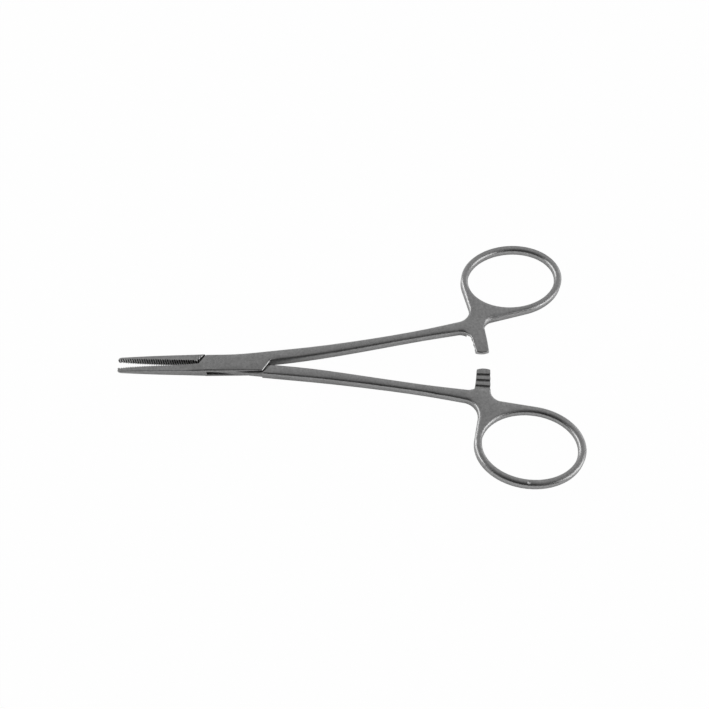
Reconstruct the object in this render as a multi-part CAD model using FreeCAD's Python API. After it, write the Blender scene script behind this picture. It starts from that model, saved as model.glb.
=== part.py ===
import FreeCAD, Part
import math
import os
from collections import namedtuple

os.makedirs("parts", exist_ok=True)

# Mosquito forceps with a box lock, 125 mm long, lying flat and slightly open.
# The lock pin stands on Z at X = 0, Y = 0. The rings lie towards +X, the jaws towards -X.
# Both halves are drawn alike about the plane Z = 0, arm up and jaw down.
# The tenon half is then turned over. At last all is laid flat on its underside, at Z = 0.

V = FreeCAD.Vector

# Angles, in degrees
opening = 4.45               # how far the halves stand open
box_face_angle = 1.5         # of it, what the box half's gripping face leans
lock_slant = 56.5            # slant of the cheeks' ends and the slot's walls against the waist
tenon_slant = 52.0           # slant of the tenon's two milled shoulders, with the jaws closed

# Thickness over the length: one even taper from the jaw root to the ring's end
root_thickness = 3.4
end_thickness = 2.4
taper_from = -9.0
taper_to = 93.0

# Box lock
waist_width = 5.14
slot_height = 1.5
tenon_clearance = 0.025      # each side, between tenon and cheek
lock_clearance = 0.1         # tenon's ends to the slot's walls, with the jaws closed
shoulder_clearance = 0.15    # tenon's shoulders to the cheeks' near corners, with the jaws closed
cheek_jaw_reach = 8.3        # cheek's shoulder towards the jaws, square from the pin
cheek_arm_reach = 7.45       # cheek's shoulder towards the arms
slot_jaw_reach = 8.13        # slot's end wall towards the jaws
slot_arm_reach = 6.75        # slot's end wall towards the arms
cheek_bevel = 0.5
shoulder_bevel = 0.38
pin_radius = 1.3
pin_running_gap = 0.05

# Jaws
jaw_length = 32.45           # pin to tip
jaw_tip_width = 0.95
jaw_root_width = 2.18
jaw_root_gap = 0.08          # between each face and the closing line, at the lock
jaw_tip_gap = 0.01           # the same at the tips, which meet first
jaw_seam = -8.6              # where the jaw's own section starts, along X
jaw_places = (0.4, 0.6, 0.76, 0.9, 0.97)
face_heights = (3.34, 3.2, 2.97, 2.45, 1.9)
back_heights = (2.8, 2.35, 1.9, 1.3, 0.95)
nose_places = (0.99, 1.0)
nose_shrinks = (0.12, 0.38)  # how much the rounded nose has lost at each place, each way
serration_start = 11.4
serration_pitch = 0.64
serration_depth = 0.24
serration_crest = 0.06       # flat left on each tooth

# Arms
arm_start = 9.6
neck_x = 65.6                # where the arm runs into the ring's side
neck_y = 11.43
arm_widths = (3.15, 2.92, 2.58, 2.34, 2.58, 3.3)

# Finger rings
ring_x = 77.55               # middle of the hole
box_ring_y = 26.59
tenon_ring_y = 25.85
hole_long = 12.6
hole_short = 9.53
ring_band = 1.95
box_ring_tilt = 9.8
tenon_ring_tilt = 5.3

# Ratchets
ratchet_inner = 65.55        # from the pin, at the free end
ratchet_inner_middle = 65.15
ratchet_inner_root = 64.6
ratchet_outer = 69.2
ratchet_end = 2.15           # degrees from the X axis
ratchet_crown = 0.3          # degrees that the free end bulges
ratchet_root = 10.2          # degrees, where the strip meets the ring's side
ratchet_overlap = 1.0        # degrees, how far the strip runs into the web
ratchet_gap = 0.06           # between the tooth tips and the middle plane
ratchet_step = 9.2           # where the strip starts to be half as thick, along Y
tooth_count = 3
tooth_first = 1.2
tooth_pitch = 1.78
tooth_depth = 0.55
tooth_flat = 0.45
tooth_ramp = 0.83

# Softened edges
arm_bevel = 0.36             # round the arms, the rings and the ratchets
hole_bevel = 0.46            # in the finger holes, softened once more
hole_second_bevel = 0.15
waist_bevel = 0.24
jaw_round = 0.42
crotch_round = 4.2
ratchet_outer_round = 3.0
box_ratchet_round = 3.2
tenon_ratchet_round = 1.9
spare = 20.0                 # how far a cutter runs past what it cuts

Half = namedtuple("Half", ("turn", "face_angle", "flare_x", "arm_rise", "arm_slope", "neck_slope",
                           "ring", "tilt", "ratchet_round", "jaw_reach", "arm_reach"))
# The box half's shoulders are its cheeks' ends. The tenon half's are the ends of its tenon.
BOX_HALF = Half(0.0, box_face_angle, -3.6, 1.97, 0.095, 0.198,
                V(ring_x, box_ring_y, 0), box_ring_tilt, box_ratchet_round,
                cheek_jaw_reach, cheek_arm_reach)
TENON_HALF = Half(opening, opening - box_face_angle, -2.57, 2.19, 0.12, 0.183,
                  V(ring_x, tenon_ring_y, 0), tenon_ring_tilt, tenon_ratchet_round,
                  slot_jaw_reach - lock_clearance, slot_arm_reach - lock_clearance)


def turned(point, degrees):
    a = math.radians(degrees)
    return V(point.x * math.cos(a) - point.y * math.sin(a),
             point.x * math.sin(a) + point.y * math.cos(a), point.z)


def half_thickness(x):
    along = (x - taper_from) / (taper_to - taper_from)
    return (root_thickness + (end_thickness - root_thickness) * along) / 2


def prism(face_points, low, high):
    wire = Part.makePolygon(face_points + face_points[:1])
    solid = Part.Face(wire).extrude(V(0, 0, high - low))
    solid.translate(V(0, 0, low))
    return solid


def on_line(normal_angle, reach, y):
    """Point at height y on the line that lies at reach from the pin, square to the angle."""
    a = math.radians(normal_angle)
    return V((reach - y * math.sin(a)) / math.cos(a), y, 0)


def shoulder_angles(half):
    """Directions square to the jaw-side and the arm-side shoulder of one half."""
    return 90 + lock_slant + half.turn, lock_slant - 90 + half.turn


# Outline of one half

def arm_centre(half, x):
    length = neck_x - arm_start
    t = (x - arm_start) / length
    ahead = 1 - t
    return ((1 + 2 * t) * ahead ** 2 * half.arm_rise + t * ahead ** 2 * length * half.arm_slope
            + t ** 2 * (3 - 2 * t) * neck_y - t ** 2 * ahead * length * half.neck_slope)


def arm_edge(half, side):
    steps = len(arm_widths) - 1
    points = []
    for i, width in enumerate(arm_widths):
        x = arm_start + (neck_x - arm_start) * i / steps
        points.append(V(x, arm_centre(half, x) + side * width / 2, 0))
    return points


def curve(points, start_direction, end_direction):
    spline = Part.BSplineCurve()
    spline.interpolate(Points=points, InitialTangent=start_direction, FinalTangent=end_direction)
    return spline.toShape()


def face_slope(half):
    """Slope of the gripping face. The tips meet first, so its root stands back."""
    return math.tan(math.radians(half.face_angle)) - (jaw_root_gap - jaw_tip_gap) / jaw_length


def face_point(half, x):
    return V(x, x * face_slope(half) - jaw_root_gap, 0)


def crossing(normal_angle, reach, rise, slope):
    """Where a shoulder line meets the line y = rise + slope * x."""
    a = math.radians(normal_angle)
    x = (reach - rise * math.sin(a)) / (math.cos(a) + slope * math.sin(a))
    return V(x, rise + slope * x, 0)


def back_line(half):
    """Lower side of the waist, running on as the jaw's back to its tip."""
    lean = math.tan(math.radians(half.turn))
    low = -waist_width / 2 / math.cos(math.radians(half.turn))
    corner = crossing(shoulder_angles(half)[1], half.arm_reach, low, lean)
    back = face_point(half, -cheek_jaw_reach - jaw_root_width / 2) - V(0, jaw_root_width, 0)
    tip_back = face_point(half, -jaw_length) - V(0, jaw_tip_width, 0)
    return curve([corner, back, tip_back], V(-1, -lean, 0), tip_back - back)


def body_outline(half):
    """Jaw, waist and arm as one wire, up to the neck."""
    jaw_side, arm_side = shoulder_angles(half)
    lean = math.tan(math.radians(half.turn))
    high = waist_width / 2 / math.cos(math.radians(half.turn))
    heel = crossing(jaw_side, half.jaw_reach, high, lean)
    root = crossing(jaw_side, half.jaw_reach, -jaw_root_gap, face_slope(half))
    tip = face_point(half, -jaw_length)
    tip_back = tip - V(0, jaw_tip_width, 0)
    inner = arm_edge(half, -1)
    inner[0] = on_line(arm_side, half.arm_reach, inner[0].y)
    outer = arm_edge(half, 1)
    flare = V(half.flare_x, high + lean * half.flare_x, 0)
    neck_way = V(1, half.neck_slope, 0)
    back = back_line(half)
    edges = [
        Part.LineSegment(heel, flare).toShape(),
        curve([flare] + outer, V(1, lean, 0), neck_way),
        Part.LineSegment(outer[-1], inner[-1]).toShape(),
        curve(inner[::-1], neck_way * -1, V(-1, -half.arm_slope, 0)),
        Part.LineSegment(inner[0], back.Vertexes[0].Point).toShape(),
        back,
        Part.LineSegment(tip_back, tip).toShape(),
        Part.LineSegment(tip, root).toShape(),
        Part.LineSegment(root, heel).toShape(),
    ]
    return Part.Wire(edges)


def tangent_point(half, outside, way):
    """Where a line from an outside point touches the ring's outer ellipse."""
    long_axis = hole_long + ring_band
    short_axis = hole_short + ring_band
    local = turned(outside - half.ring, -half.tilt)
    p = V(local.x / long_axis, local.y / short_axis, 0)
    a = math.atan2(p.y, p.x) + way * math.acos(1 / p.Length)
    return half.ring + turned(V(long_axis * math.cos(a), short_axis * math.sin(a), 0), half.tilt)


def oval(half, long_axis, short_axis, depth):
    """Upright oval block at the ring's place, drawn as two arcs."""
    ellipse = Part.Ellipse(V(0, 0, 0), long_axis, short_axis)
    arcs = [Part.ArcOfEllipse(ellipse, start, start + math.pi).toShape() for start in (0, math.pi)]
    solid = Part.Face(Part.Wire(arcs)).extrude(V(0, 0, 2 * depth))
    solid.translate(V(0, 0, -depth))
    solid.rotate(V(0, 0, 0), V(0, 0, 1), half.tilt)
    solid.translate(half.ring)
    return solid


def polar(radius, degrees):
    a = math.radians(degrees)
    return V(radius * math.cos(a), radius * math.sin(a), 0)


def ratchet_strip(depth):
    """Curved strip about the pin, from its crowned free end to the ring's side, widening to its root."""
    middle = (ratchet_end + ratchet_root) / 2
    inner_end = polar(ratchet_inner, ratchet_end)
    inner_root = polar(ratchet_inner_root, ratchet_root)
    outer_end = polar(ratchet_outer, ratchet_end)
    outer_root = polar(ratchet_outer, ratchet_root)
    crown = polar((ratchet_inner + ratchet_outer) / 2, ratchet_end - ratchet_crown)
    edges = [
        Part.Arc(inner_end, polar(ratchet_inner_middle, middle), inner_root).toShape(),
        Part.LineSegment(inner_root, outer_root).toShape(),
        Part.Arc(outer_root, polar(ratchet_outer, middle), outer_end).toShape(),
        Part.Arc(outer_end, crown, inner_end).toShape(),
    ]
    solid = Part.Face(Part.Wire(edges)).extrude(V(0, 0, 2 * depth))
    solid.translate(V(0, 0, -depth))
    return solid


def upright_edge_near(solid, place):
    """The full-height edge that stands nearest to a place in plan."""
    best = None
    for edge in solid.Edges:
        ends = [v.Point for v in edge.Vertexes]
        if len(ends) == 2 and abs(ends[0].z - ends[1].z) > root_thickness / 2:
            if math.hypot(ends[0].x - ends[1].x, ends[0].y - ends[1].y) < 0.01:
                gap = math.hypot(ends[0].x - place.x, ends[0].y - place.y)
                if best is None or gap < best[0]:
                    best = (gap, edge)
    return best[1]


def plate_outline(half):
    """The half as an even plate with an upright edge all round."""
    depth = root_thickness
    body = Part.Face(body_outline(half)).extrude(V(0, 0, 2 * depth))
    body.translate(V(0, 0, -depth))
    crotch = V(neck_x, arm_centre(half, neck_x) + arm_widths[-1] / 2, 0)
    side = polar(ratchet_outer, ratchet_root)
    upper = tangent_point(half, crotch, -1)
    lower = tangent_point(half, side, 1)
    inside = polar(ratchet_inner_root, ratchet_root - ratchet_overlap)
    web = prism([crotch, inside, side, lower, half.ring, upper], -depth, depth)
    ring = oval(half, hole_long + ring_band, hole_short + ring_band, depth)
    plate = body.fuse([web, ratchet_strip(depth), ring]).removeSplitter()
    under_neck = V(ratchet_inner_root, arm_centre(half, neck_x) - arm_widths[-1] / 2, 0)
    corners = ((crotch, crotch_round), (side, ratchet_outer_round), (under_neck, half.ratchet_round))
    for place, radius in corners:
        plate = plate.makeFillet(radius, [upright_edge_near(plate, place)])
    return plate.cut(oval(half, hole_long, hole_short, depth))


def taper_envelope():
    """The two slanting planes that set the thickness along the length."""
    left = -jaw_length - spare
    right = taper_to + spare
    a = half_thickness(left)
    b = half_thickness(right)
    side = -2 * spare
    points = [V(left, side, -a), V(right, side, -b), V(right, side, b), V(left, side, a)]
    face = Part.Face(Part.makePolygon(points + points[:1]))
    return face.extrude(V(0, 5 * spare, 0))


# Softened edges of the plate

def on_shoulder(start, end, half):
    """True on the straight shoulders, the gripping face and the jaw's end, which stay sharp."""
    near = 0.05
    for angle, reach in zip(shoulder_angles(half), (half.jaw_reach, half.arm_reach)):
        way = polar(1, angle)
        if abs(start.dot(way) - reach) < near and abs(end.dot(way) - reach) < near:
            return True
    if max(abs(p.y - face_point(half, p.x).y) for p in (start, end)) < near:
        return True
    return max(start.x, end.x) < -jaw_length + near


def middle_of(edge):
    return edge.valueAt((edge.FirstParameter + edge.LastParameter) / 2)


def edge_groups(plate, half):
    """The level edges to be softened: round the arm and ring, in the ring's hole, along the waist."""
    outside, hole, back = [], [], []
    for edge in plate.Edges:
        if edge.BoundBox.ZLength > root_thickness / 2:
            continue
        middle = middle_of(edge)
        start, end = edge.Vertexes[0].Point, edge.Vertexes[-1].Point
        from_ring = turned(middle - half.ring, -half.tilt)
        if math.hypot(from_ring.x / hole_long, from_ring.y / hole_short) < 1 + ring_band / hole_long / 2:
            hole.append(edge)
        elif on_shoulder(start, end, half):
            continue
        elif middle.y < face_point(half, middle.x).y and middle.x < half.arm_reach:
            back.append(edge)
        else:
            outside.append(edge)
    return outside, hole, back


def is_among(edge, edges):
    near = 1e-3
    same_length = [e for e in edges if abs(edge.Length - e.Length) < near]
    return any((middle_of(edge) - middle_of(e)).Length < near for e in same_length)


def softened_plate(half):
    plate = plate_outline(half).common(taper_envelope())
    outside, hole, back = edge_groups(plate, half)
    for edges, size in ((outside, arm_bevel), (back, waist_bevel)):
        plate = plate.makeChamfer(size, [e for e in plate.Edges if is_among(e, edges)])
    before = plate
    plate = before.makeChamfer(hole_bevel, [e for e in before.Edges if is_among(e, hole)])
    rims = [e for e in plate.Edges if e.Length > hole_short and not is_among(e, before.Edges)]
    return plate.makeChamfer(hole_second_bevel, rims)


# Jaw

def jaw_section(half, x, face_height, back_height, inset):
    """Section across the jaw: a tall gripping face, a lower back with two rounded edges."""
    upright = Part.makeLine(V(x, -spare, 0), V(x, spare, 0))
    back_y = back_line(half).distToShape(upright)[1][0][0].y + inset
    face_top = V(x, face_point(half, x).y, face_height / 2)
    corner = V(x, back_y, back_height / 2)
    along = (face_top - corner).normalize()
    down = V(0, 0, -1)
    bisector = (along + down).normalize()
    half_angle = along.getAngle(down) / 2
    radius = min(jaw_round, back_height / 3)
    run = radius / math.tan(half_angle)
    start = corner + along * run
    middle = corner + bisector * (radius / math.sin(half_angle) - radius)
    end = corner + down * run
    flip = [V(p.x, p.y, -p.z) for p in (face_top, start, middle, end)]
    return Part.Wire([
        Part.LineSegment(flip[0], face_top).toShape(),
        Part.LineSegment(face_top, start).toShape(),
        Part.Arc(start, middle, end).toShape(),
        Part.LineSegment(end, flip[3]).toShape(),
        Part.Arc(flip[3], flip[2], flip[1]).toShape(),
        Part.LineSegment(flip[1], flip[0]).toShape(),
    ])


def jaw(half):
    seam_height = 2 * half_thickness(jaw_seam)
    sections = [jaw_section(half, jaw_seam, seam_height, seam_height, 0)]
    for place, face_height, back_height in zip(jaw_places, face_heights, back_heights):
        sections.append(jaw_section(half, -jaw_length * place, face_height, back_height, 0))
    ends = [sections[-1]]
    for place, shrink in zip(nose_places, nose_shrinks):
        face_height = face_heights[-1] - 2 * shrink
        back_height = back_heights[-1] - shrink
        ends.append(jaw_section(half, -jaw_length * place, face_height, back_height, shrink))
    blade = Part.makeLoft(sections, True, False)
    nose = Part.makeLoft(ends, True, True)
    return blade.fuse(nose)


def jaw_room(half):
    """All of the plate that the jaw's own section takes the place of."""
    far = -jaw_length - spare
    points = [V(jaw_seam, -spare, 0), face_point(half, jaw_seam), face_point(half, far), V(far, -spare, 0)]
    return prism(points, -root_thickness, root_thickness)


def serrations(half):
    """Comb of upright V cuts across the gripping face."""
    count = int((jaw_length - serration_start) / serration_pitch)
    half_cut = (serration_pitch - serration_crest) / 2
    clear = V(0, serration_depth, 0)
    points = [face_point(half, -serration_start) + clear]
    for i in range(count):
        x = -serration_start - serration_pitch * (i + 0.5)
        points.append(face_point(half, x + half_cut))
        points.append(face_point(half, x) - clear)
        points.append(face_point(half, x - half_cut))
    points.append(points[-1] + clear)
    return prism(points, -root_thickness, root_thickness)


def blank(half):
    """One forged half, before its lock and ratchet are cut."""
    return softened_plate(half).cut(jaw_room(half)).fuse(jaw(half)).cut(serrations(half))


# Lock

def across(normal_angle, reach, sideways):
    """Point on a shoulder line, given its distance along that line."""
    return polar(reach, normal_angle) + polar(sideways, normal_angle + 90)


def slot():
    """Room for the tenon between the box half's cheeks, open towards the tenon's jaw and arm."""
    wall = 180 + 90 - lock_slant
    half = BOX_HALF
    mouth = crossing(wall, slot_jaw_reach, -jaw_root_gap, face_slope(half))
    inner = arm_edge(half, -1)[0]
    points = [
        mouth,
        face_point(half, -spare),
        V(-spare, spare, 0),
        on_line(wall - 180, slot_arm_reach, spare),
        on_line(wall - 180, slot_arm_reach, inner.y),
        V(2 * spare, inner.y, 0),
        V(2 * spare, -spare, 0),
        on_line(wall, slot_jaw_reach, -spare),
    ]
    return prism(points, -slot_height / 2, slot_height / 2)


def tenon_shoulders():
    """The two milled shoulders of the tenon half, as direction and reach.
    With the jaws closed, each clears the near corner of a cheek's end."""
    shoulders = []
    cheek_angles = shoulder_angles(BOX_HALF)
    cheek_ends = ((cheek_jaw_reach, waist_width / 2), (cheek_arm_reach, -waist_width / 2))
    for cheek_angle, (reach, y) in zip(cheek_angles, cheek_ends):
        corner = on_line(cheek_angle, reach, y)
        closed_angle = cheek_angle + tenon_slant - lock_slant
        clear_reach = corner.dot(polar(1, closed_angle)) + shoulder_clearance
        shoulders.append((opening - closed_angle, clear_reach))
    return shoulders


def tenon_milling():
    """What is milled off both faces of the tenon half, between its two shoulders."""
    (jaw_side, jaw_reach), (arm_side, arm_reach) = tenon_shoulders()
    points = [across(jaw_side, jaw_reach, -spare), across(jaw_side, jaw_reach, spare),
              across(arm_side, arm_reach, -spare), across(arm_side, arm_reach, spare)]
    level = slot_height / 2 - tenon_clearance
    upper = prism(points, level, root_thickness)
    lower = prism(points, -root_thickness, -level)
    return upper.fuse(lower)


def edge_bevel(normal_angle, reach, start, end, size):
    """Cuts the 45 degree bevels of a shoulder, at its upper and lower edge.
    The shoulder is bare towards the normal. start and end lie along it."""
    cutters = []
    for way in (1, -1):
        top = half_thickness(polar(reach, normal_angle).x) * way
        inside = across(normal_angle, reach - size, start) + V(0, 0, top)
        lower = across(normal_angle, reach, start) + V(0, 0, top - way * size)
        over = across(normal_angle, reach + size, start) + V(0, 0, top + way * size)
        triangle = Part.Face(Part.makePolygon([inside, lower, over, inside]))
        cutters.append(triangle.extrude(polar(end - start, normal_angle + 90)))
    return cutters


# Ratchet

def ratchet_cuts():
    """Takes the strip down to half its thickness and cuts its teeth."""
    margin = 1.0
    inner = ratchet_inner - margin
    outer = ratchet_outer + margin
    cuts = [Part.makeBox(outer - inner + 2 * margin, ratchet_step + spare, root_thickness,
                         V(inner - margin, -spare, ratchet_gap - root_thickness))]
    degrees_per_mm = math.degrees(2 / (ratchet_inner + ratchet_outer))
    for i in range(tooth_count):
        drop = tooth_first + tooth_pitch * i
        degrees = ratchet_end + drop * degrees_per_mm
        corner = polar(inner, degrees) + V(0, 0, ratchet_gap)
        forward = polar(1, degrees + 90)
        up = V(0, 0, tooth_depth)
        crest = corner + up + forward * tooth_flat
        foot = corner + forward * (tooth_flat + tooth_ramp)
        profile = [corner - up, corner + up, crest, foot, foot - up]
        face = Part.Face(Part.makePolygon(profile + profile[:1]))
        cuts.append(face.extrude(polar(outer - inner, degrees)))
    return cuts


# Pieces

def rod(radius):
    return Part.makeCylinder(radius, 2 * root_thickness, V(0, 0, -root_thickness))


def box_half():
    half = BOX_HALF
    solid = blank(half)
    arm_side = shoulder_angles(half)[1]
    corner = back_line(half).Vertexes[0].Point
    inner = on_line(arm_side, half.arm_reach, arm_edge(half, -1)[0].y)
    way = polar(1, arm_side + 90)
    cuts = [slot(), rod(pin_radius)]
    cuts += edge_bevel(arm_side, half.arm_reach, corner.dot(way) - cheek_bevel, inner.dot(way), cheek_bevel)
    return solid.cut(cuts + ratchet_cuts())


def tenon_half():
    solid = blank(TENON_HALF)
    cuts = [tenon_milling(), rod(pin_radius + pin_running_gap)]
    for angle, reach in tenon_shoulders():
        cuts += edge_bevel(angle + 180, -reach, -spare, spare, shoulder_bevel)
    solid = solid.cut(cuts + ratchet_cuts())
    solid.rotate(V(0, 0, 0), V(1, 0, 0), 180)
    return solid


def lock_pin():
    return rod(pin_radius).common(taper_envelope())


def main():
    lift = V(0, 0, half_thickness(0))
    lean = math.degrees(math.atan((half_thickness(0) - half_thickness(taper_to)) / taper_to))
    for name, solid in (("box_half", box_half()), ("tenon_half", tenon_half()), ("lock_pin", lock_pin())):
        solid.translate(lift)
        solid.rotate(V(0, 0, 0), V(0, 1, 0), lean)
        solid.exportStep("parts/" + name + ".step")
        print(name, "volume", round(solid.Volume, 2), "solids", len(solid.Solids), "valid", solid.isValid())


main()
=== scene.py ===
# %% [markdown]
# # Mosquito forceps
# A slender clamp of satin stainless steel lies flat and slightly open on a white table.
# Three pieces come from the CAD frame: the box half, the tenon half that passes through it, and the lock pin.
# Their shapes are already right, so this lesson is about light, about soft edges and about a believable steel.

# %% Load the frame
import bpy
import math
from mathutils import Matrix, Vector

for leftover in ("Cube", "Light", "Camera"):
    if leftover in bpy.data.objects:
        bpy.data.objects.remove(bpy.data.objects[leftover])
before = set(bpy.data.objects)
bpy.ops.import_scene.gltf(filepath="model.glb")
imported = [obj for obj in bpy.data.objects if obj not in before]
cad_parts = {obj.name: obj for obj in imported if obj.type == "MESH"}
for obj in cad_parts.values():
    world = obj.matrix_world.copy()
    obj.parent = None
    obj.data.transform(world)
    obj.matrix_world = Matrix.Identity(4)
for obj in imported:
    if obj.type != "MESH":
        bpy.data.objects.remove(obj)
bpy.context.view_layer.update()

# %% [markdown]
# ## The camera
# The camera looks down on the table at 60 degrees from about 28 cm away, with a normal lens. At that distance the
# near ring already looks a little larger than the far one.

# %% Place the camera
CAMERA_PLACE = (0.031104, -0.134540, 0.239376)
CAMERA_TURN = (29.9952, 0.2808, -0.95)
FOCAL_LENGTH = 50.69
SENSOR_WIDTH = 36.0
NEAREST_SEEN = 0.01

camera_data = bpy.data.cameras.new("camera")
camera_data.lens = FOCAL_LENGTH
camera_data.sensor_width = SENSOR_WIDTH
camera_data.clip_start = NEAREST_SEEN
camera = bpy.data.objects.new("camera", camera_data)
camera.location = CAMERA_PLACE
camera.rotation_euler = [math.radians(angle) for angle in CAMERA_TURN]
bpy.context.scene.collection.objects.link(camera)
bpy.context.scene.camera = camera
bpy.context.scene.view_settings.view_transform = "Standard"

# %% [markdown]
# ## Small helpers for nodes
# Materials and the world are both built of nodes. Two kinds come up again and again: a piece of arithmetic, and a
# soft step from one value to another. A short helper for each keeps the recipes below readable.


# %% Define the helpers
def math_node(nodes, links, operation, a, b=None, clamp=False):
    node = nodes.new("ShaderNodeMath")
    node.operation = operation
    node.use_clamp = clamp
    for index, value in enumerate((a, b)):
        if value is None:
            continue
        if isinstance(value, (int, float)):
            node.inputs[index].default_value = value
        else:
            links.new(value, node.inputs[index])
    return node.outputs[0]


def smooth_step(nodes, links, value, start, stop, low=0.0, high=1.0):
    step = nodes.new("ShaderNodeMapRange")
    step.interpolation_type = "SMOOTHSTEP"
    for label, number in (("From Min", start), ("From Max", stop), ("To Min", low), ("To Max", high)):
        step.inputs[label].default_value = number
    links.new(value, step.inputs["Value"])
    return step.outputs["Result"]


def split_vector(nodes, links, vector):
    parts = nodes.new("ShaderNodeSeparateXYZ")
    links.new(vector, parts.inputs[0])
    return parts.outputs


def new_material(name):
    material = bpy.data.materials.new(name)
    material.use_nodes = True
    material.node_tree.nodes.clear()
    return material, material.node_tree.nodes, material.node_tree.links


print("helpers are ready")

# %% [markdown]
# ## The table
# A polished or satin metal shows its surroundings more than its own colour, so the table matters.
# It is one large pale plane. The camera sees it almost as an even white, and the small rest is its lit surface, so
# a faint shadow still falls under the forceps.
# The steel mirrors the lit surface with a share of that white: more on the right, where the rings lie, and less close
# to the forceps, which shade the table beside them.

# %% Lay the table
TABLE_SIZE = 3.0
TABLE_DROP = 0.00004
TABLE_COLOUR = (0.92, 0.92, 0.92, 1)
WHITE = 1.0
WHITE_TO_CAMERA = 0.985
WHITE_TO_STEEL_LEFT = 0.20
WHITE_TO_STEEL_RIGHT = 0.40
LEFT_TO_RIGHT = (0.01, 0.07)
CONTACT_REACH = 0.006


def white_share(nodes, links):
    """How much even white a ray gets from the table: nearly all for the camera, some for mirroring steel."""
    path = nodes.new("ShaderNodeLightPath")
    to_camera = math_node(nodes, links, "MULTIPLY", path.outputs["Is Camera Ray"], WHITE_TO_CAMERA)
    openness = nodes.new("ShaderNodeAmbientOcclusion")
    openness.inputs["Distance"].default_value = CONTACT_REACH
    place = nodes.new("ShaderNodeTexCoord")
    along = split_vector(nodes, links, place.outputs["Object"])["X"]
    brighter = smooth_step(nodes, links, along, *LEFT_TO_RIGHT, WHITE_TO_STEEL_LEFT, WHITE_TO_STEEL_RIGHT)
    open_share = math_node(nodes, links, "MULTIPLY", openness.outputs["AO"], brighter)
    to_steel = math_node(nodes, links, "MULTIPLY", path.outputs["Is Glossy Ray"], open_share)
    return math_node(nodes, links, "ADD", to_steel, to_camera)


def table_material():
    material, nodes, links = new_material("white_table")
    lit = nodes.new("ShaderNodeBsdfDiffuse")
    lit.inputs["Color"].default_value = TABLE_COLOUR
    white = nodes.new("ShaderNodeEmission")
    white.inputs["Strength"].default_value = WHITE
    mix = nodes.new("ShaderNodeMixShader")
    links.new(white_share(nodes, links), mix.inputs["Fac"])
    links.new(lit.outputs[0], mix.inputs[1])
    links.new(white.outputs[0], mix.inputs[2])
    output = nodes.new("ShaderNodeOutputMaterial")
    links.new(mix.outputs[0], output.inputs["Surface"])
    return material


def lay_table():
    half = TABLE_SIZE / 2
    mesh = bpy.data.meshes.new("table")
    corners = [(-half, -half, 0), (half, -half, 0), (half, half, 0), (-half, half, 0)]
    mesh.from_pydata(corners, [], [(0, 1, 2, 3)])
    table = bpy.data.objects.new("table", mesh)
    table.location.z = -TABLE_DROP
    table.data.materials.append(table_material())
    bpy.context.scene.collection.objects.link(table)
    return table


table = lay_table()
print("table is", TABLE_SIZE, "m wide")

# %% [markdown]
# ## The room
# The flats of the forceps mirror the room behind them, which is a middling grey. Their rounded front edges mirror
# the darker room behind the photographer. An image of a real room would do this too, but it would bring reflections
# of things that aren't there. So the world changes slowly from dark in front to grey behind, and it is a little
# brighter towards both sides, which makes the jaws and the rings lighter than the arms. The camera itself sees the
# world only beyond the edge of the table, in low views, and there it is an even pale grey.

# %% Build the room
ROOM_COLOUR = (0.8, 0.8, 0.8, 1)
ROOM_FRONT = 0.03
ROOM_BEHIND = 0.555
ROOM_TO_CAMERA = 1.0
FRONT_TO_BEHIND = (-0.42, 1.05)
DARKEST_SIDEWAYS = -0.05
WIDEST_SIDEWAYS = 0.30


def build_room():
    world = bpy.data.worlds.new("studio")
    world.use_nodes = True
    nodes, links = world.node_tree.nodes, world.node_tree.links
    nodes.clear()
    direction = nodes.new("ShaderNodeTexCoord")
    parts = split_vector(nodes, links, direction.outputs["Generated"])
    sideways = math_node(nodes, links, "ABSOLUTE", math_node(nodes, links, "SUBTRACT", parts["X"], DARKEST_SIDEWAYS))
    limited = math_node(nodes, links, "MINIMUM", sideways, WIDEST_SIDEWAYS)
    backwards = math_node(nodes, links, "ADD", limited, parts["Y"])
    grey = smooth_step(nodes, links, backwards, *FRONT_TO_BEHIND, ROOM_FRONT, ROOM_BEHIND)
    path = nodes.new("ShaderNodeLightPath")
    seen = nodes.new("ShaderNodeMix")
    seen.data_type = "FLOAT"
    links.new(path.outputs["Is Camera Ray"], seen.inputs["Factor"])
    links.new(grey, seen.inputs["A"])
    seen.inputs["B"].default_value = ROOM_TO_CAMERA
    background = nodes.new("ShaderNodeBackground")
    background.inputs["Color"].default_value = ROOM_COLOUR
    links.new(seen.outputs["Result"], background.inputs["Strength"])
    output = nodes.new("ShaderNodeOutputWorld")
    links.new(background.outputs[0], output.inputs["Surface"])
    bpy.context.scene.world = world


build_room()
print("brightness in front", round(ROOM_COLOUR[0] * ROOM_FRONT, 3), "behind", round(ROOM_COLOUR[0] * ROOM_BEHIND, 3))

# %% [markdown]
# ## The lamps
# The bright lines along the rings and in their corners are soft boxes, mirrored in the rounded edges: a wide box on
# the left, a smaller one on the right, and a faint one behind on the right. They stand low, so that the flats don't
# mirror them from here. They are large and dim, because small strong ones would turn the flats pure white when the
# camera looks from another side.

# %% Place the lamps
LIT_PLACE = (0.03, 0, 0)
SOFT_BOXES = (
    ("left_box", (-0.53, 0.11, 0.235), (0.80, 0.46), 2.1),
    ("right_box", (0.54, -0.18, 0.235), (0.46, 0.42), 1.1),
    ("back_right_box", (0.58, 0.34, 0.12), (0.30, 0.20), 0.17),
)


def soft_box(name, place, size, watts):
    light = bpy.data.lights.new(name, "AREA")
    light.shape = "RECTANGLE"
    light.size, light.size_y = size
    light.energy = watts
    lamp = bpy.data.objects.new(name, light)
    lamp.location = place
    lamp.rotation_euler = (Vector(LIT_PLACE) - Vector(place)).to_track_quat("-Z", "Y").to_euler()
    bpy.context.scene.collection.objects.link(lamp)
    print(name, "radiance", round(watts / (math.pi * size[0] * size[1]), 2))


for name, place, size, watts in SOFT_BOXES:
    soft_box(name, place, size, watts)

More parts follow.
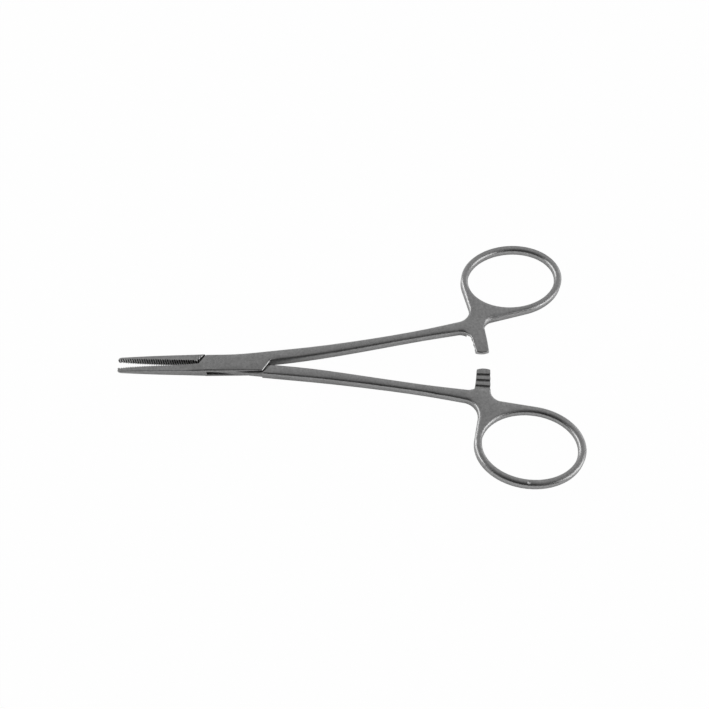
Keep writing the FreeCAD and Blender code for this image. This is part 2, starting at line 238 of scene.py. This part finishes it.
# %% [markdown]
# ## Soft edges
# The CAD gives each edge a flat bevel of a few tenths of a millimetre, where the ground and tumbled steel is round.
# A bevel modifier could round them, but the CAD mesh is made of long thin triangles, which it pulls about.
# It is enough to bend the shading: weld the split vertices, smooth all but the real corners, and let a weighted
# normal keep the large flats flat. The bevels then shade as rounds.

# %% Shade the CAD nodes smoothly
CORNER_ANGLE = math.radians(52)
WELD_DISTANCE = 0.000002


def smooth_shading_group():
    tree = bpy.data.node_groups.new("smooth_but_for_corners", "GeometryNodeTree")
    tree.interface.new_socket("Geometry", in_out="INPUT", socket_type="NodeSocketGeometry")
    tree.interface.new_socket("Geometry", in_out="OUTPUT", socket_type="NodeSocketGeometry")
    nodes, links = tree.nodes, tree.links
    start = nodes.new("NodeGroupInput")
    weld = nodes.new("GeometryNodeMergeByDistance")
    weld.inputs["Distance"].default_value = WELD_DISTANCE
    faces = nodes.new("GeometryNodeSetShadeSmooth")
    faces.domain = "FACE"
    edges = nodes.new("GeometryNodeSetShadeSmooth")
    edges.domain = "EDGE"
    angle = nodes.new("GeometryNodeInputMeshEdgeAngle")
    flat_enough = nodes.new("FunctionNodeCompare")
    flat_enough.data_type = "FLOAT"
    flat_enough.operation = "LESS_THAN"
    flat_enough.inputs["B"].default_value = CORNER_ANGLE
    end = nodes.new("NodeGroupOutput")
    links.new(start.outputs[0], weld.inputs["Geometry"])
    links.new(weld.outputs["Geometry"], faces.inputs["Geometry"])
    links.new(faces.outputs["Geometry"], edges.inputs["Geometry"])
    links.new(angle.outputs["Unsigned Angle"], flat_enough.inputs["A"])
    links.new(flat_enough.outputs["Result"], edges.inputs["Shade Smooth"])
    links.new(edges.outputs["Geometry"], end.inputs[0])
    return tree


def shade_smoothly(node, group):
    smooth = node.modifiers.new("smooth", "NODES")
    smooth.node_group = group
    weighted = node.modifiers.new("weighted_normals", "WEIGHTED_NORMAL")
    weighted.keep_sharp = True
    weighted.mode = "FACE_AREA"


smoothing = smooth_shading_group()
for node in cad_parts.values():
    shade_smoothly(node, smoothing)
    print(node.name, "has", len(node.data.polygons), "faces")

# %% [markdown]
# ## Steel effects
# The forged halves and the pin are both steel and share their effects, so each effect is a node group, built once,
# with named sockets. A material places the groups and sets its own values on them.
# They read the place on the object or the shape around it, never the camera, so marks stay put in every view.


# %% Define the helpers for groups
def new_group(name, inputs, outputs):
    tree = bpy.data.node_groups.new(name, "ShaderNodeTree")
    for label, kind, value in inputs:
        socket = tree.interface.new_socket(label, in_out="INPUT", socket_type=kind)
        if value is not None:
            socket.default_value = value
    for label, kind in outputs:
        tree.interface.new_socket(label, in_out="OUTPUT", socket_type=kind)
    start = tree.nodes.new("NodeGroupInput")
    end = tree.nodes.new("NodeGroupOutput")
    return tree, tree.nodes, tree.links, start, end


def place_group(nodes, tree, **values):
    node = nodes.new("ShaderNodeGroup")
    node.node_tree = tree
    for label, value in values.items():
        node.inputs[label.replace("_", " ")].default_value = value
    return node


def distance_from(nodes, links, vector, point):
    away = nodes.new("ShaderNodeVectorMath")
    away.operation = "DISTANCE"
    links.new(vector, away.inputs[0])
    if isinstance(point, tuple):
        away.inputs[1].default_value = point
    else:
        links.new(point, away.inputs[1])
    return away.outputs["Value"]


print("group helpers are ready")

# %% [markdown]
# ## Satin grain
# Glass beads and a last brushing leave a very fine grain, which blurs what the steel mirrors. It could be a picture
# of scratches, but a stretched noise needs no picture and no unwrapping. It gives a height for the bump and a mask
# for the roughness.

# %% Satin grain group
FINENESS = 9000.0
GRAIN_OCTAVES = 2.0
GRAIN_HARSHNESS = 0.6
GRAIN_RANGE = (0.35, 0.65)


def satin_grain_group():
    """Fine grain, stretched along one direction, as a height and as a mask from 0 to 1."""
    tree, nodes, links, start, end = new_group(
        "satin_grain",
        [("Stretch", "NodeSocketVector", (1, 1, 1)), ("Fineness", "NodeSocketFloat", FINENESS)],
        [("Height", "NodeSocketFloat"), ("Mask", "NodeSocketFloat")])
    place = nodes.new("ShaderNodeTexCoord")
    stretched = nodes.new("ShaderNodeVectorMath")
    stretched.operation = "MULTIPLY"
    links.new(place.outputs["Object"], stretched.inputs[0])
    links.new(start.outputs["Stretch"], stretched.inputs[1])
    noise = nodes.new("ShaderNodeTexNoise")
    noise.inputs["Detail"].default_value = GRAIN_OCTAVES
    noise.inputs["Roughness"].default_value = GRAIN_HARSHNESS
    links.new(stretched.outputs[0], noise.inputs["Vector"])
    links.new(start.outputs["Fineness"], noise.inputs["Scale"])
    links.new(noise.outputs["Fac"], end.inputs["Height"])
    mask = nodes.new("ShaderNodeMapRange")
    mask.inputs["From Min"].default_value, mask.inputs["From Max"].default_value = GRAIN_RANGE
    links.new(noise.outputs["Fac"], mask.inputs["Value"])
    links.new(mask.outputs["Result"], end.inputs["Mask"])
    return tree


satin_grain = satin_grain_group()
print(satin_grain.name, "has", len(satin_grain.nodes), "nodes")

# %% [markdown]
# ## Wiped clouds
# Cloths and trays leave slow patches in the shine. A large soft noise is enough for them, since no patch has a shape
# that the eye could name.

# %% Clouds group
PATCH_SIZE = 0.007
CLOUD_OCTAVES = 4.0
CLOUD_RANGE = (0.3, 0.7)


def noise_of_size(nodes, links, size, octaves):
    place = nodes.new("ShaderNodeTexCoord")
    noise = nodes.new("ShaderNodeTexNoise")
    noise.inputs["Detail"].default_value = octaves
    links.new(place.outputs["Object"], noise.inputs["Vector"])
    links.new(math_node(nodes, links, "DIVIDE", 1.0, size), noise.inputs["Scale"])
    return noise


def clouds_group():
    """Slow patches where the steel was wiped or tumbled more, as a mask from 0 to 1."""
    tree, nodes, links, start, end = new_group(
        "wiped_clouds", [("Patch Size", "NodeSocketFloat", PATCH_SIZE)], [("Mask", "NodeSocketFloat")])
    noise = noise_of_size(nodes, links, start.outputs["Patch Size"], CLOUD_OCTAVES)
    links.new(smooth_step(nodes, links, noise.outputs["Fac"], *CLOUD_RANGE), end.inputs["Mask"])
    return tree


wiped_clouds = clouds_group()
print(wiped_clouds.name, "has", len(wiped_clouds.nodes), "nodes")

# %% [markdown]
# ## Mottle
# Blasting also makes the tone itself uneven, in specks of a little over half a millimetre. A finer noise around the
# value 1 multiplies the colour, so its mean stays the same.

# %% Mottle group
MOTTLE_SIZE = 0.0006
MOTTLE_DEPTH = 0.5
MOTTLE_OCTAVES = 3.0
MOTTLE_HARSHNESS = 0.7
NOISE_MIDDLE = 0.5


def mottle_group():
    """The fine uneven tone that blasting leaves, as a factor around 1 for the colour."""
    tree, nodes, links, start, end = new_group(
        "mottle", [("Grain Size", "NodeSocketFloat", MOTTLE_SIZE), ("Depth", "NodeSocketFloat", MOTTLE_DEPTH)],
        [("Factor", "NodeSocketFloat")])
    noise = noise_of_size(nodes, links, start.outputs["Grain Size"], MOTTLE_OCTAVES)
    noise.inputs["Roughness"].default_value = MOTTLE_HARSHNESS
    centred = math_node(nodes, links, "SUBTRACT", noise.outputs["Fac"], NOISE_MIDDLE)
    scaled = math_node(nodes, links, "MULTIPLY", centred, start.outputs["Depth"])
    swing = math_node(nodes, links, "DIVIDE", scaled, NOISE_MIDDLE)
    links.new(math_node(nodes, links, "ADD", swing, 1.0), end.inputs["Factor"])
    return tree


mottle = mottle_group()
print(mottle.name, "has", len(mottle.nodes), "nodes")

# %% [markdown]
# ## Rounding
# The lock, the jaws and the ratchets are milled and stay crisp, while the arms and above all the rings are ground
# round. The Bevel shader node rounds every edge in the shading alone, by a radius that may change from place to
# place, so this group gives that radius. One corner, where the upper ratchet meets its ring, is rounded most.
# Around the pin the radius is nil, because the pin is ground flush and its rim mustn't show.
# The group also says where tops are to be levelled in the next step, since that follows the same places.

# %% Rounding group
SHARP_ROUND = 0.00012
ARM_ROUND = 0.00085
RING_ROUND = 0.0012
DEEP_ROUND = 0.0022
DEEP_ROUND_PLACE = (0.0704, 0.0131, 0.0025)
DEEP_ROUND_SPREAD = (0.0015, 0.0045)
HANDLE_BEGINS = (0.0095, 0.0125)
RING_BEGINS = (0.050, 0.066)
RATCHET_BEGINS = (0.0625, 0.0640)
RATCHET_ENDS_ASIDE = (0.0088, 0.0100)
JAW_ENDS = (-0.0130, -0.0112)
PIN_PLACE = (0.0, 0.0, 0.0)
PIN_SURROUND = (0.0036, 0.0042)
RAMP_SHARE = 0.85


def rounding_group():
    """How widely the edges are rounded here, and where tops are levelled."""
    tree, nodes, links, _, end = new_group(
        "rounding", [], [("Radius", "NodeSocketFloat"), ("Level Tops", "NodeSocketFloat")])
    place = nodes.new("ShaderNodeTexCoord").outputs["Object"]
    parts = split_vector(nodes, links, place)
    aside = math_node(nodes, links, "ABSOLUTE", parts["Y"])
    handle = smooth_step(nodes, links, parts["X"], *HANDLE_BEGINS)
    wider = smooth_step(nodes, links, parts["X"], *RING_BEGINS, ARM_ROUND, RING_ROUND)
    past_neck = smooth_step(nodes, links, parts["X"], *RATCHET_BEGINS)
    inside = smooth_step(nodes, links, aside, *RATCHET_ENDS_ASIDE, 1.0, 0.0)
    ratchet = math_node(nodes, links, "MULTIPLY", past_neck, inside)
    smooth_part = math_node(nodes, links, "SUBTRACT", handle, ratchet, clamp=True)
    extra = math_node(nodes, links, "SUBTRACT", wider, SHARP_ROUND)
    wide = math_node(nodes, links, "MULTIPLY", smooth_part, extra)
    radius = math_node(nodes, links, "ADD", wide, SHARP_ROUND)
    off_pin = smooth_step(nodes, links, distance_from(nodes, links, place, PIN_PLACE), *PIN_SURROUND)
    from_deep = distance_from(nodes, links, place, DEEP_ROUND_PLACE)
    deep = smooth_step(nodes, links, from_deep, *DEEP_ROUND_SPREAD, DEEP_ROUND, 0.0)
    rounded = math_node(nodes, links, "MAXIMUM", math_node(nodes, links, "MULTIPLY", radius, off_pin), deep)
    links.new(rounded, end.inputs["Radius"])
    jaw = smooth_step(nodes, links, parts["X"], *JAW_ENDS, 1.0, 0.0)
    ramps = math_node(nodes, links, "MULTIPLY", ratchet, RAMP_SHARE)
    links.new(math_node(nodes, links, "MAXIMUM", jaw, ramps), end.inputs["Level Tops"])
    return tree


rounding = rounding_group()

# %% [markdown]
# ## Levelled tops
# The jaws' tops fall off towards their backs and the ratchet's ramps are steep, so parts of both would mirror the
# dark room in front. On the real forceps they look as light as the flats beside them. The group turns the normals of
# such faces nearly upright. That is a small liberty with the shading, and it leaves the mesh as it is.

# %% Levelled tops group
LEVEL_FROM = (0.70, 0.82)
LEVEL_SHARE = 0.9


def levelled_group():
    """Turns the normals of faces that are nearly level upright, where the mask says so."""
    tree, nodes, links, start, end = new_group(
        "levelled", [("Normal", "NodeSocketVector", None), ("Where", "NodeSocketFloat", 0.0),
                     ("Share", "NodeSocketFloat", LEVEL_SHARE)],
        [("Normal", "NodeSocketVector")])
    upwards = split_vector(nodes, links, start.outputs["Normal"])["Z"]
    level = smooth_step(nodes, links, math_node(nodes, links, "ABSOLUTE", upwards), *LEVEL_FROM)
    where = math_node(nodes, links, "MULTIPLY", start.outputs["Where"], start.outputs["Share"])
    upright = nodes.new("ShaderNodeCombineXYZ")
    links.new(math_node(nodes, links, "SIGN", upwards), upright.inputs["Z"])
    turned = nodes.new("ShaderNodeMix")
    turned.data_type = "VECTOR"
    factor, before, after = (turned.inputs[index] for index in (0, 4, 5))
    links.new(math_node(nodes, links, "MULTIPLY", level, where), factor)
    links.new(start.outputs["Normal"], before)
    links.new(upright.outputs[0], after)
    unit = nodes.new("ShaderNodeVectorMath")
    unit.operation = "NORMALIZE"
    links.new(turned.outputs[1], unit.inputs[0])
    links.new(unit.outputs[0], end.inputs["Normal"])
    return tree


levelled = levelled_group()
print(levelled.name, "has", len(levelled.nodes), "nodes")

# %% [markdown]
# ## Edge wear and painted sheen
# Edges are lighter than flats, partly because hands, trays and other instruments rub them, and partly as a painted
# sheen that brightens their highlights. The Bevel node's normal departs from the plain one only near an edge, so the
# difference between the two is a mask for that wear and painted sheen.

# %% Edge polish group
WEAR_AND_SHEEN_STRENGTH = 1.2
BEVEL_SAMPLES = 12


def edge_wear_and_sheen_group():
    """Where hands and trays have rubbed the edges and a sheen is painted on them: a mask from 0 to 1, and the softened
    normal itself.
    """
    tree, nodes, links, start, end = new_group(
        "edge_wear_and_sheen",
        [("Radius", "NodeSocketFloat", SHARP_ROUND), ("Strength", "NodeSocketFloat", WEAR_AND_SHEEN_STRENGTH)],
        [("Mask", "NodeSocketFloat"), ("Normal", "NodeSocketVector")])
    soft = nodes.new("ShaderNodeBevel")
    soft.samples = BEVEL_SAMPLES
    links.new(start.outputs["Radius"], soft.inputs["Radius"])
    plain = nodes.new("ShaderNodeNewGeometry")
    same = nodes.new("ShaderNodeVectorMath")
    same.operation = "DOT_PRODUCT"
    links.new(soft.outputs["Normal"], same.inputs[0])
    links.new(plain.outputs["Normal"], same.inputs[1])
    bent = math_node(nodes, links, "SUBTRACT", 1.0, same.outputs["Value"])
    mask = math_node(nodes, links, "MULTIPLY", bent, start.outputs["Strength"], clamp=True)
    links.new(mask, end.inputs["Mask"])
    links.new(soft.outputs["Normal"], end.inputs["Normal"])
    return tree


edge_wear_and_sheen = edge_wear_and_sheen_group()
print(edge_wear_and_sheen.name, "takes", BEVEL_SAMPLES, "samples")

# %% [markdown]
# ## Gripping faces
# Fine cross grooves are cut into both jaws, and they are in the mesh. From the camera each is only two or three pixels
# wide, so the light alone gives them little contrast. The group finds the gripping face by its direction and the
# grooves by their pitch along the jaw. With that a highlight is painted on the ridges and shade in the bottoms.
# The rim is the rounded upper end of each ridge, where a bright glint is painted.

# %% Gripping face group
GROOVES_START = 0.0114
GROOVE_PITCH = 0.00064
FACING_RANGE = (0.30, 0.50)
FACE_FADES_IN = (-0.0030, -0.0010)
GROOVE_MIDDLE = 0.5
GROOVE_EDGE = (0.26, 0.36)
RIM_LEAN = (0.01, 0.08)


def towards_other_jaw(nodes, links, sideways, side):
    """How far a normal leans towards the other jaw, from -1 to 1."""
    return math_node(nodes, links, "MULTIPLY", math_node(nodes, links, "MULTIPLY", sideways, side), -1.0)


def gripping_face_group():
    """The serrated faces of the jaws: masks for the whole face, for its grooves and for the ends of its ridges, where
    a glint is painted.
    """
    tree, nodes, links, start, end = new_group(
        "gripping_face",
        [("Soft Normal", "NodeSocketVector", None), ("Start", "NodeSocketFloat", GROOVES_START),
         ("Pitch", "NodeSocketFloat", GROOVE_PITCH)],
        [("Face", "NodeSocketFloat"), ("Groove", "NodeSocketFloat"), ("Rim Glint", "NodeSocketFloat")])
    place = nodes.new("ShaderNodeTexCoord")
    parts = split_vector(nodes, links, place.outputs["Object"])
    side = math_node(nodes, links, "SIGN", parts["Y"])
    own_lean = split_vector(nodes, links, place.outputs["Normal"])["Y"]
    facing = smooth_step(nodes, links, towards_other_jaw(nodes, links, own_lean, side), *FACING_RANGE)
    out = math_node(nodes, links, "MULTIPLY", parts["X"], -1.0)
    along = math_node(nodes, links, "SUBTRACT", out, start.outputs["Start"])
    on_jaw = smooth_step(nodes, links, along, *FACE_FADES_IN)
    face = math_node(nodes, links, "MULTIPLY", facing, on_jaw)
    links.new(face, end.inputs["Face"])
    share = math_node(nodes, links, "FRACT", math_node(nodes, links, "DIVIDE", along, start.outputs["Pitch"]))
    from_middle = math_node(nodes, links, "ABSOLUTE", math_node(nodes, links, "SUBTRACT", share, GROOVE_MIDDLE))
    groove = smooth_step(nodes, links, from_middle, *GROOVE_EDGE, 1.0, 0.0)
    links.new(math_node(nodes, links, "MULTIPLY", groove, face), end.inputs["Groove"])
    own = nodes.new("ShaderNodeVectorTransform")
    own.vector_type = "NORMAL"
    own.convert_from = "WORLD"
    own.convert_to = "OBJECT"
    links.new(start.outputs["Soft Normal"], own.inputs[0])
    soft_lean = split_vector(nodes, links, own.outputs[0])["Y"]
    rounded = smooth_step(nodes, links, towards_other_jaw(nodes, links, soft_lean, side), *RIM_LEAN)
    beside = math_node(nodes, links, "SUBTRACT", 1.0, facing)
    on_ridge = math_node(nodes, links, "SUBTRACT", 1.0, groove)
    # The ends of the ridges get a painted glint.
    painted_rim_glint = math_node(nodes, links, "MULTIPLY", math_node(nodes, links, "MULTIPLY", rounded, beside),
                    math_node(nodes, links, "MULTIPLY", on_ridge, on_jaw))
    links.new(painted_rim_glint, end.inputs["Rim Glint"])
    return tree


gripping_face = gripping_face_group()

# %% [markdown]
# ## One nick
# The lower ring has a small bright nick on the crest of its near side. The distance from one point gives a soft round
# mask, for a brighter colour and for a shallow dent in the bump.

# %% Nick group
NICK_PLACE = (0.07608, -0.0364, 0.0024)
NICK_SIZE = 0.00055
NICK_FADE = (0.3, 1.0)


def nick_group():
    """A small nick, as a mask from 0 to 1."""
    tree, nodes, links, start, end = new_group(
        "nick", [("Place", "NodeSocketVector", NICK_PLACE), ("Size", "NodeSocketFloat", NICK_SIZE)],
        [("Mask", "NodeSocketFloat")])
    place = nodes.new("ShaderNodeTexCoord")
    away = distance_from(nodes, links, place.outputs["Object"], start.outputs["Place"])
    share = math_node(nodes, links, "DIVIDE", away, start.outputs["Size"])
    links.new(smooth_step(nodes, links, share, *NICK_FADE, 1.0, 0.0), end.inputs["Mask"])
    return tree


nick = nick_group()

# %% [markdown]
# ## Recesses and their painted shade
# Little light gets into the slot, into the gaps of the lock and between the jaws. The ambient occlusion node counts
# how much of the surroundings a point sees within a reach, so its reverse is a mask for such places, where shade is
# painted into the colour of the steel. The reach is long between the jaws, shorter at the lock, and very short on
# the arms and ratchets, which stand free.

# %% Recess group
JAW_REACH = 0.006
LOCK_REACH = 0.0012
ARM_REACH = 0.0003
JAW_TO_LOCK = (-0.0120, -0.0090)
LOCK_TO_ARM = (0.0120, 0.0160)
CLOSED_RANGE = (0.40, 0.85)
RECESS_SAMPLES = 12


def mix_value(nodes, links, factor, a, b):
    mix = nodes.new("ShaderNodeMix")
    for label, value in (("Factor", factor), ("A", a), ("B", b)):
        links.new(value, mix.inputs[label])
    return mix.outputs["Result"]


def recess_shade_group():
    """Grooves, gaps and the feet of walls, where little light gets in: a mask from 0 to 1 for painted shade."""
    tree, nodes, links, start, end = new_group(
        "recess_shade",
        [("Reach", "NodeSocketFloat", ARM_REACH), ("Lock Reach", "NodeSocketFloat", LOCK_REACH),
         ("Jaw Reach", "NodeSocketFloat", JAW_REACH)],
        [("Mask", "NodeSocketFloat")])
    place = nodes.new("ShaderNodeTexCoord")
    along = split_vector(nodes, links, place.outputs["Object"])["X"]
    behind_jaws = smooth_step(nodes, links, along, *JAW_TO_LOCK)
    behind_lock = smooth_step(nodes, links, along, *LOCK_TO_ARM)
    rear = mix_value(nodes, links, behind_lock, start.outputs["Lock Reach"], start.outputs["Reach"])
    reach = mix_value(nodes, links, behind_jaws, start.outputs["Jaw Reach"], rear)
    openness = nodes.new("ShaderNodeAmbientOcclusion")
    openness.samples = RECESS_SAMPLES
    links.new(reach, openness.inputs["Distance"])
    closed = math_node(nodes, links, "SUBTRACT", 1.0, openness.outputs["AO"])
    links.new(smooth_step(nodes, links, closed, *CLOSED_RANGE), end.inputs["Mask"])
    return tree


recess_shade = recess_shade_group()

# %% [markdown]
# ## The colour of the steel
# Surgical steel is blasted with fine glass beads or brushed, so that it doesn't dazzle under an operating lamp.
# For a metal, the base colour says how much of each colour it mirrors, so a neutral grey makes a darker or lighter
# mirror. The flats are clouded. The rubbed edges are lighter, partly for their wear and partly as a painted sheen
# that brightens their highlights. The ridges of the jaws get a lighter painted highlight, the rims of the ridges a
# painted glint and the nick a bright colour, and the recesses and grooves get painted shade, almost black.

# %% Mix the colour
STEEL = (0.50, 0.50, 0.50, 1)
STEEL_CLOUDED = (0.47, 0.47, 0.47, 1)
# Rubbed edges: lighter for wear, and partly a painted sheen on their highlights.
STEEL_WORN_AND_SHEEN = (0.70, 0.70, 0.70, 1)
# Painted highlight on the ridges of the gripping faces.
STEEL_RIDGE_HIGHLIGHT = (0.92, 0.92, 0.92, 1)
# Painted glint on the rims of the ridges; the nick takes the same bright colour.
STEEL_BRIGHT = (0.95, 0.95, 0.95, 1)
# Painted shade in recesses, gaps and grooves.
STEEL_PAINTED_SHADE = (0.02, 0.02, 0.02, 1)
WEAR_AND_SHEEN_SHARE = 0.8
RIDGE_SHELTER = 0.6
# How strongly shade is painted into gaps and grooves.
RECESS_SHARE = 0.9
GROOVE_SHARE = 0.98


def mix_colour(nodes, links, factor, a, b):
    mix = nodes.new("ShaderNodeMix")
    mix.data_type = "RGBA"
    links.new(factor, mix.inputs["Factor"])
    for socket, value in ((mix.inputs[6], a), (mix.inputs[7], b)):
        if isinstance(value, tuple):
            socket.default_value = value
        else:
            links.new(value, socket)
    return mix.outputs[2]


def steel_and_painted_highlights(nodes, links, clouds, wear_and_sheen_edges, ridge, painted_rim_glint_and_nick):
    patchy = mix_colour(nodes, links, clouds, STEEL_CLOUDED, STEEL)
    # Edges: lighter for wear, and partly a painted sheen.
    wear_and_sheen_amount = math_node(nodes, links, "MULTIPLY", wear_and_sheen_edges, WEAR_AND_SHEEN_SHARE)
    rubbed_and_sheen = mix_colour(nodes, links, wear_and_sheen_amount, patchy, STEEL_WORN_AND_SHEEN)
    # Painted highlight on the ridges.
    with_ridge_highlight = mix_colour(nodes, links, ridge, rubbed_and_sheen, STEEL_RIDGE_HIGHLIGHT)
    return mix_colour(nodes, links, painted_rim_glint_and_nick, with_ridge_highlight, STEEL_BRIGHT)


def painted_shade(nodes, links, gap, ridge, groove):
    """How much shade is painted on a place: deep in a gap or a groove, though ridges stick out of the shade."""
    sheltered = math_node(nodes, links, "SUBTRACT", 1.0, math_node(nodes, links, "MULTIPLY", ridge, RIDGE_SHELTER))
    shut_in = math_node(nodes, links, "MULTIPLY", gap, sheltered)
    return math_node(nodes, links, "MAXIMUM", math_node(nodes, links, "MULTIPLY", shut_in, RECESS_SHARE),
                     math_node(nodes, links, "MULTIPLY", groove, GROOVE_SHARE))


def steel_colour(nodes, links, clouds, wear_and_sheen_edges, dent):
    grip = place_group(nodes, gripping_face)
    links.new(wear_and_sheen_edges.outputs["Normal"], grip.inputs["Soft Normal"])
    # Mask for painted shade in recesses.
    gap = place_group(nodes, recess_shade)
    mottled = place_group(nodes, mottle, Grain_Size=MOTTLE_SIZE, Depth=MOTTLE_DEPTH)
    ridge = math_node(nodes, links, "SUBTRACT", grip.outputs["Face"], grip.outputs["Groove"], clamp=True)
    # Painted glint on the rims, and the nick's brighter colour.
    painted_rim_glint_and_nick = math_node(nodes, links, "MAXIMUM", grip.outputs["Rim Glint"], dent.outputs["Mask"])
    steel_and_highlights = steel_and_painted_highlights(nodes, links, clouds.outputs["Mask"], wear_and_sheen_edges.outputs["Mask"], ridge, painted_rim_glint_and_nick)
    speckled = nodes.new("ShaderNodeVectorMath")
    speckled.operation = "SCALE"
    links.new(steel_and_highlights, speckled.inputs[0])
    links.new(mottled.outputs["Factor"], speckled.inputs["Scale"])
    # Painted shade in recesses and grooves.
    painted_shade_share = painted_shade(nodes, links, gap.outputs["Mask"], ridge, grip.outputs["Groove"])
    return mix_colour(nodes, links, painted_shade_share, speckled.outputs[0], STEEL_PAINTED_SHADE)


# The rubbed edges' colour is partly a painted sheen.
print("flats mirror", STEEL[0], "of the light, rubbed edges up to", STEEL_WORN_AND_SHEEN[0])

# %% [markdown]
# ## The sheen of the steel
# Roughness decides how blurred the mirrored room is. It goes up and down a little with the grain and the clouds.
# The normal comes from the softened edges, goes through the levelling, and gets the grain and the nick as bumps.

# %% Vary the roughness and the normal
SMOOTHEST = 0.26
ROUGHEST = 0.36
GRAIN_SHARE = 0.5
CLOUD_SHARE = 0.5
GRAIN_DEPTH = 0.000004
GRAIN_STRENGTH = 0.5
NICK_DEPTH = 0.00012


def steel_roughness(nodes, links, grain, clouds):
    fine = math_node(nodes, links, "MULTIPLY", grain.outputs["Mask"], GRAIN_SHARE)
    slow = math_node(nodes, links, "MULTIPLY", clouds.outputs["Mask"], CLOUD_SHARE)
    spread = nodes.new("ShaderNodeMapRange")
    spread.inputs["To Min"].default_value = SMOOTHEST
    spread.inputs["To Max"].default_value = ROUGHEST
    links.new(math_node(nodes, links, "ADD", fine, slow), spread.inputs["Value"])
    return spread.outputs["Result"]


def steel_normal(nodes, links, zone, wear_and_sheen_edges, grain, dent):
    level = place_group(nodes, levelled)
    links.new(wear_and_sheen_edges.outputs["Normal"], level.inputs["Normal"])
    links.new(zone.outputs["Level Tops"], level.inputs["Where"])
    grained = nodes.new("ShaderNodeBump")
    grained.inputs["Distance"].default_value = GRAIN_DEPTH
    grained.inputs["Strength"].default_value = GRAIN_STRENGTH
    links.new(grain.outputs["Height"], grained.inputs["Height"])
    links.new(level.outputs["Normal"], grained.inputs["Normal"])
    dented = nodes.new("ShaderNodeBump")
    dented.invert = True
    dented.inputs["Distance"].default_value = NICK_DEPTH
    links.new(dent.outputs["Mask"], dented.inputs["Height"])
    links.new(grained.outputs["Normal"], dented.inputs["Normal"])
    return dented.outputs["Normal"]


print("roughness goes from", SMOOTHEST, "to", ROUGHEST)

# %% [markdown]
# ## Satin stainless steel
# It is a bare metal, so the shader is fully metallic and all of its look comes from the colour, the roughness and
# the normal above. The grain of the forged halves runs along them, and the pin's end was ground in a circle, so
# its grain has no direction.

# %% Give the pieces their steel
ALONG_THE_HALVES = (0.25, 1.0, 1.0)
NO_DIRECTION = (1.0, 1.0, 1.0)


def steel_material(name, stretch):
    material, nodes, links = new_material(name)
    grain = place_group(nodes, satin_grain, Stretch=stretch, Fineness=FINENESS)
    clouds = place_group(nodes, wiped_clouds, Patch_Size=PATCH_SIZE)
    zone = place_group(nodes, rounding)
    wear_and_sheen_edges = place_group(nodes, edge_wear_and_sheen, Strength=WEAR_AND_SHEEN_STRENGTH)
    links.new(zone.outputs["Radius"], wear_and_sheen_edges.inputs["Radius"])
    dent = place_group(nodes, nick)
    shader = nodes.new("ShaderNodeBsdfPrincipled")
    shader.inputs["Metallic"].default_value = 1.0
    links.new(steel_colour(nodes, links, clouds, wear_and_sheen_edges, dent), shader.inputs["Base Color"])
    links.new(steel_roughness(nodes, links, grain, clouds), shader.inputs["Roughness"])
    links.new(steel_normal(nodes, links, zone, wear_and_sheen_edges, grain, dent), shader.inputs["Normal"])
    output = nodes.new("ShaderNodeOutputMaterial")
    links.new(shader.outputs[0], output.inputs["Surface"])
    return material


satin_steel = steel_material("satin_steel_forged", ALONG_THE_HALVES)
pin_steel = steel_material("satin_steel_pin", NO_DIRECTION)
for name in ("box_half", "tenon_half"):
    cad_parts[name].material_slots[0].material = satin_steel
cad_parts["lock_pin"].material_slots[0].material = pin_steel
print("materials set on", sorted(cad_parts))
